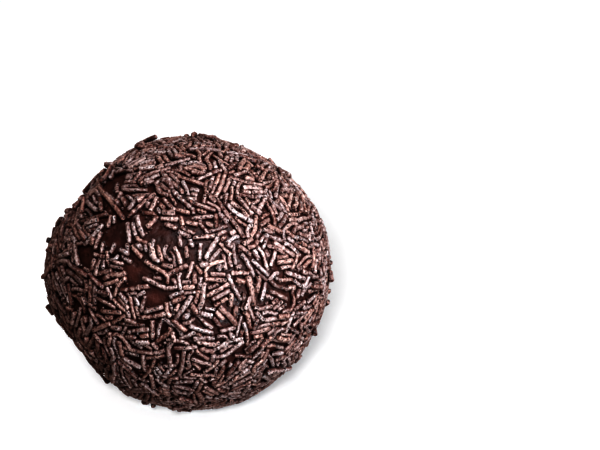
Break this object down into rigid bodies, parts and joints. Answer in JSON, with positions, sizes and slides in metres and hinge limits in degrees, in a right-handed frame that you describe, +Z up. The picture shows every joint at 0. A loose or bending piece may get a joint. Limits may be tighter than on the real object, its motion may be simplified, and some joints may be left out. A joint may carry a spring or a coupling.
{
  "type": "rum ball",
  "caption": "Hand-rolled chocolate rum ball covered in chocolate sprinkles, with a small flat spot to rest on.",
  "frame": {"origin": "centre of the small flat spot that the ball rests on", "axes": "+Z up from the flat spot; -Y is the side that faces the viewer, with +X to the viewer's right"},
  "size_m": [0.0597, 0.0596, 0.0532],
  "materials": {
    "dark_chocolate": "dark chocolate with a dull shine"
  },
  "bodies": {
    "root": {"rum_ball": "dark_chocolate"}
  },
  "joints": []
}
